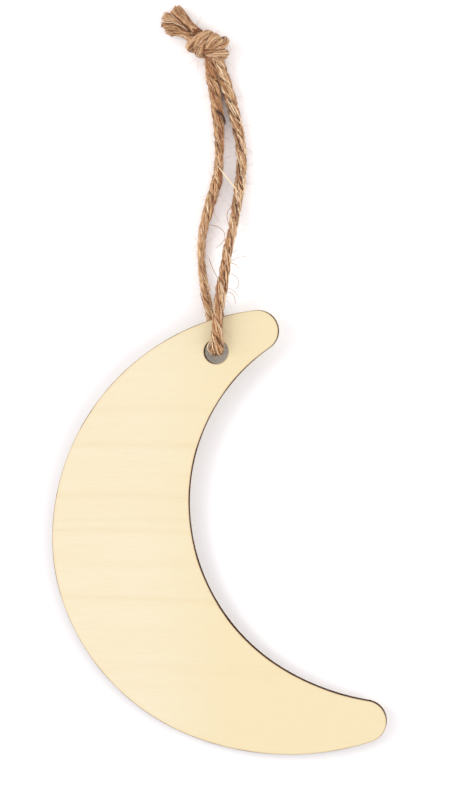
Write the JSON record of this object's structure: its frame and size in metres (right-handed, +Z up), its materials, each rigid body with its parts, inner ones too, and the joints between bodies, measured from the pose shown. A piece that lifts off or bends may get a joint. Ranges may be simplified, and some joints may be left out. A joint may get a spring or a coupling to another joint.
{
  "type": "crescent hanging ornament",
  "caption": "Flat plywood crescent moon ornament with rounded horns, hung from a knotted jute twine loop threaded through a hole near its upper tip.",
  "frame": {"origin": "middle of the plywood crescent's footprint, on the table it lies on", "axes": "+X to the right of the face, +Y up the ornament towards its hanger, +Z up, out of the face"},
  "size_m": [0.0754, 0.1687, 0.008],
  "materials": {
    "veneer": "bare sanded pale veneer with faint grain, scorched brown at the cut edge",
    "core": "laser-cut edge, scorched dark brown",
    "twine": "unbleached two-ply jute, hairy"
  },
  "bodies": {
    "crescent": {"face_ply": "veneer", "core_ply": "core", "back_ply": "veneer"},
    "hanger_bight": {"twine_bight": "twine"},
    "hanger_loop": {"twine_front_leg": "twine", "twine_back_leg": "twine", "overhand_knot": "twine", "front_tail": "twine", "back_tail": "twine"}
  },
  "joints": [
    {"name": "hanger_swing", "type": "hinge", "parent": "crescent", "child": "hanger_bight", "pos_m": [-0.00048, 0.04063, 0.00385], "axis": [-0.0166, -0.0256, 0.9995], "range_deg": [-30, 30]},
    {"name": "loop_fold", "type": "hinge", "parent": "hanger_bight", "child": "hanger_loop", "pos_m": [-0.00055, 0.05362, 0.00828], "axis": [0.9999, -0.0002, 0.0166], "range_deg": [0, 150]}
  ]
}
